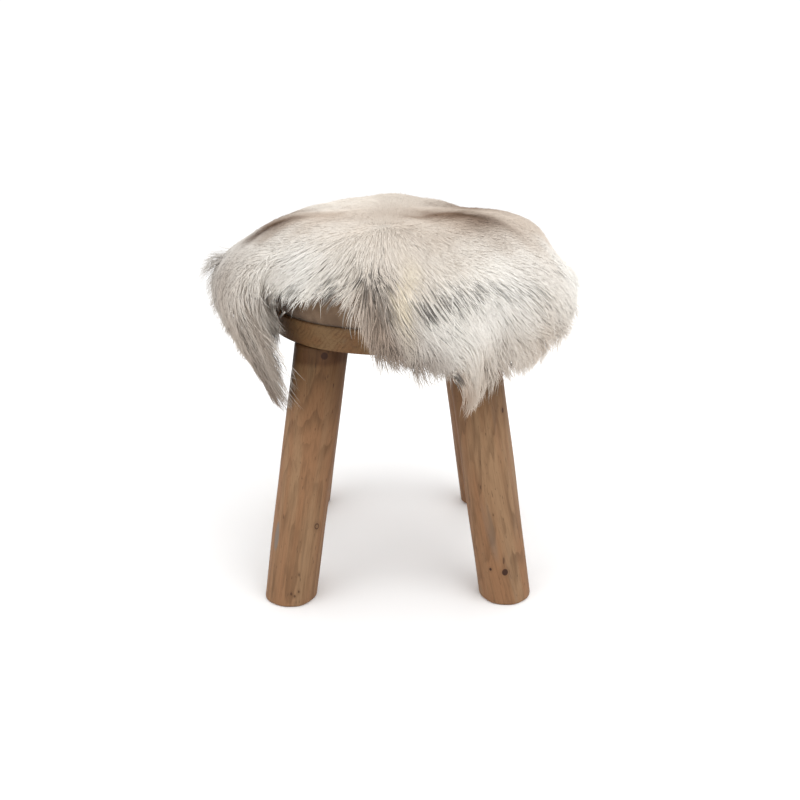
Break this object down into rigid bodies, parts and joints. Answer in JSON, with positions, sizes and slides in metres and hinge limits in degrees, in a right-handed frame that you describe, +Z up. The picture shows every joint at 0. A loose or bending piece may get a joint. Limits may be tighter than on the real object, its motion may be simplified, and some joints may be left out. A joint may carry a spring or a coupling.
{
  "type": "reindeer hide seat pad on a round wooden stool",
  "caption": "Long-haired reindeer hide draped fur side up over the padded round seat of a low wooden stool with splayed pole legs.",
  "frame": {"origin": "on the floor, under the middle of the whole object's box", "axes": "+Z up; -Y is the side with the hide's bay and long front lobes; +X to the right seen from there"},
  "size_m": [0.4354, 0.4234, 0.447],
  "materials": {
    "hide": "hair-on hide, cream fur with taupe patches",
    "pad_cloth": "plain brown cloth",
    "wood": "bare, lightly oiled softwood"
  },
  "bodies": {
    "root": {"hide": "hide", "pad": "pad_cloth", "seat": "wood", "leg_front_left": "wood", "leg_front_right": "wood", "leg_rear_left": "wood", "leg_rear_right": "wood"}
  },
  "joints": []
}
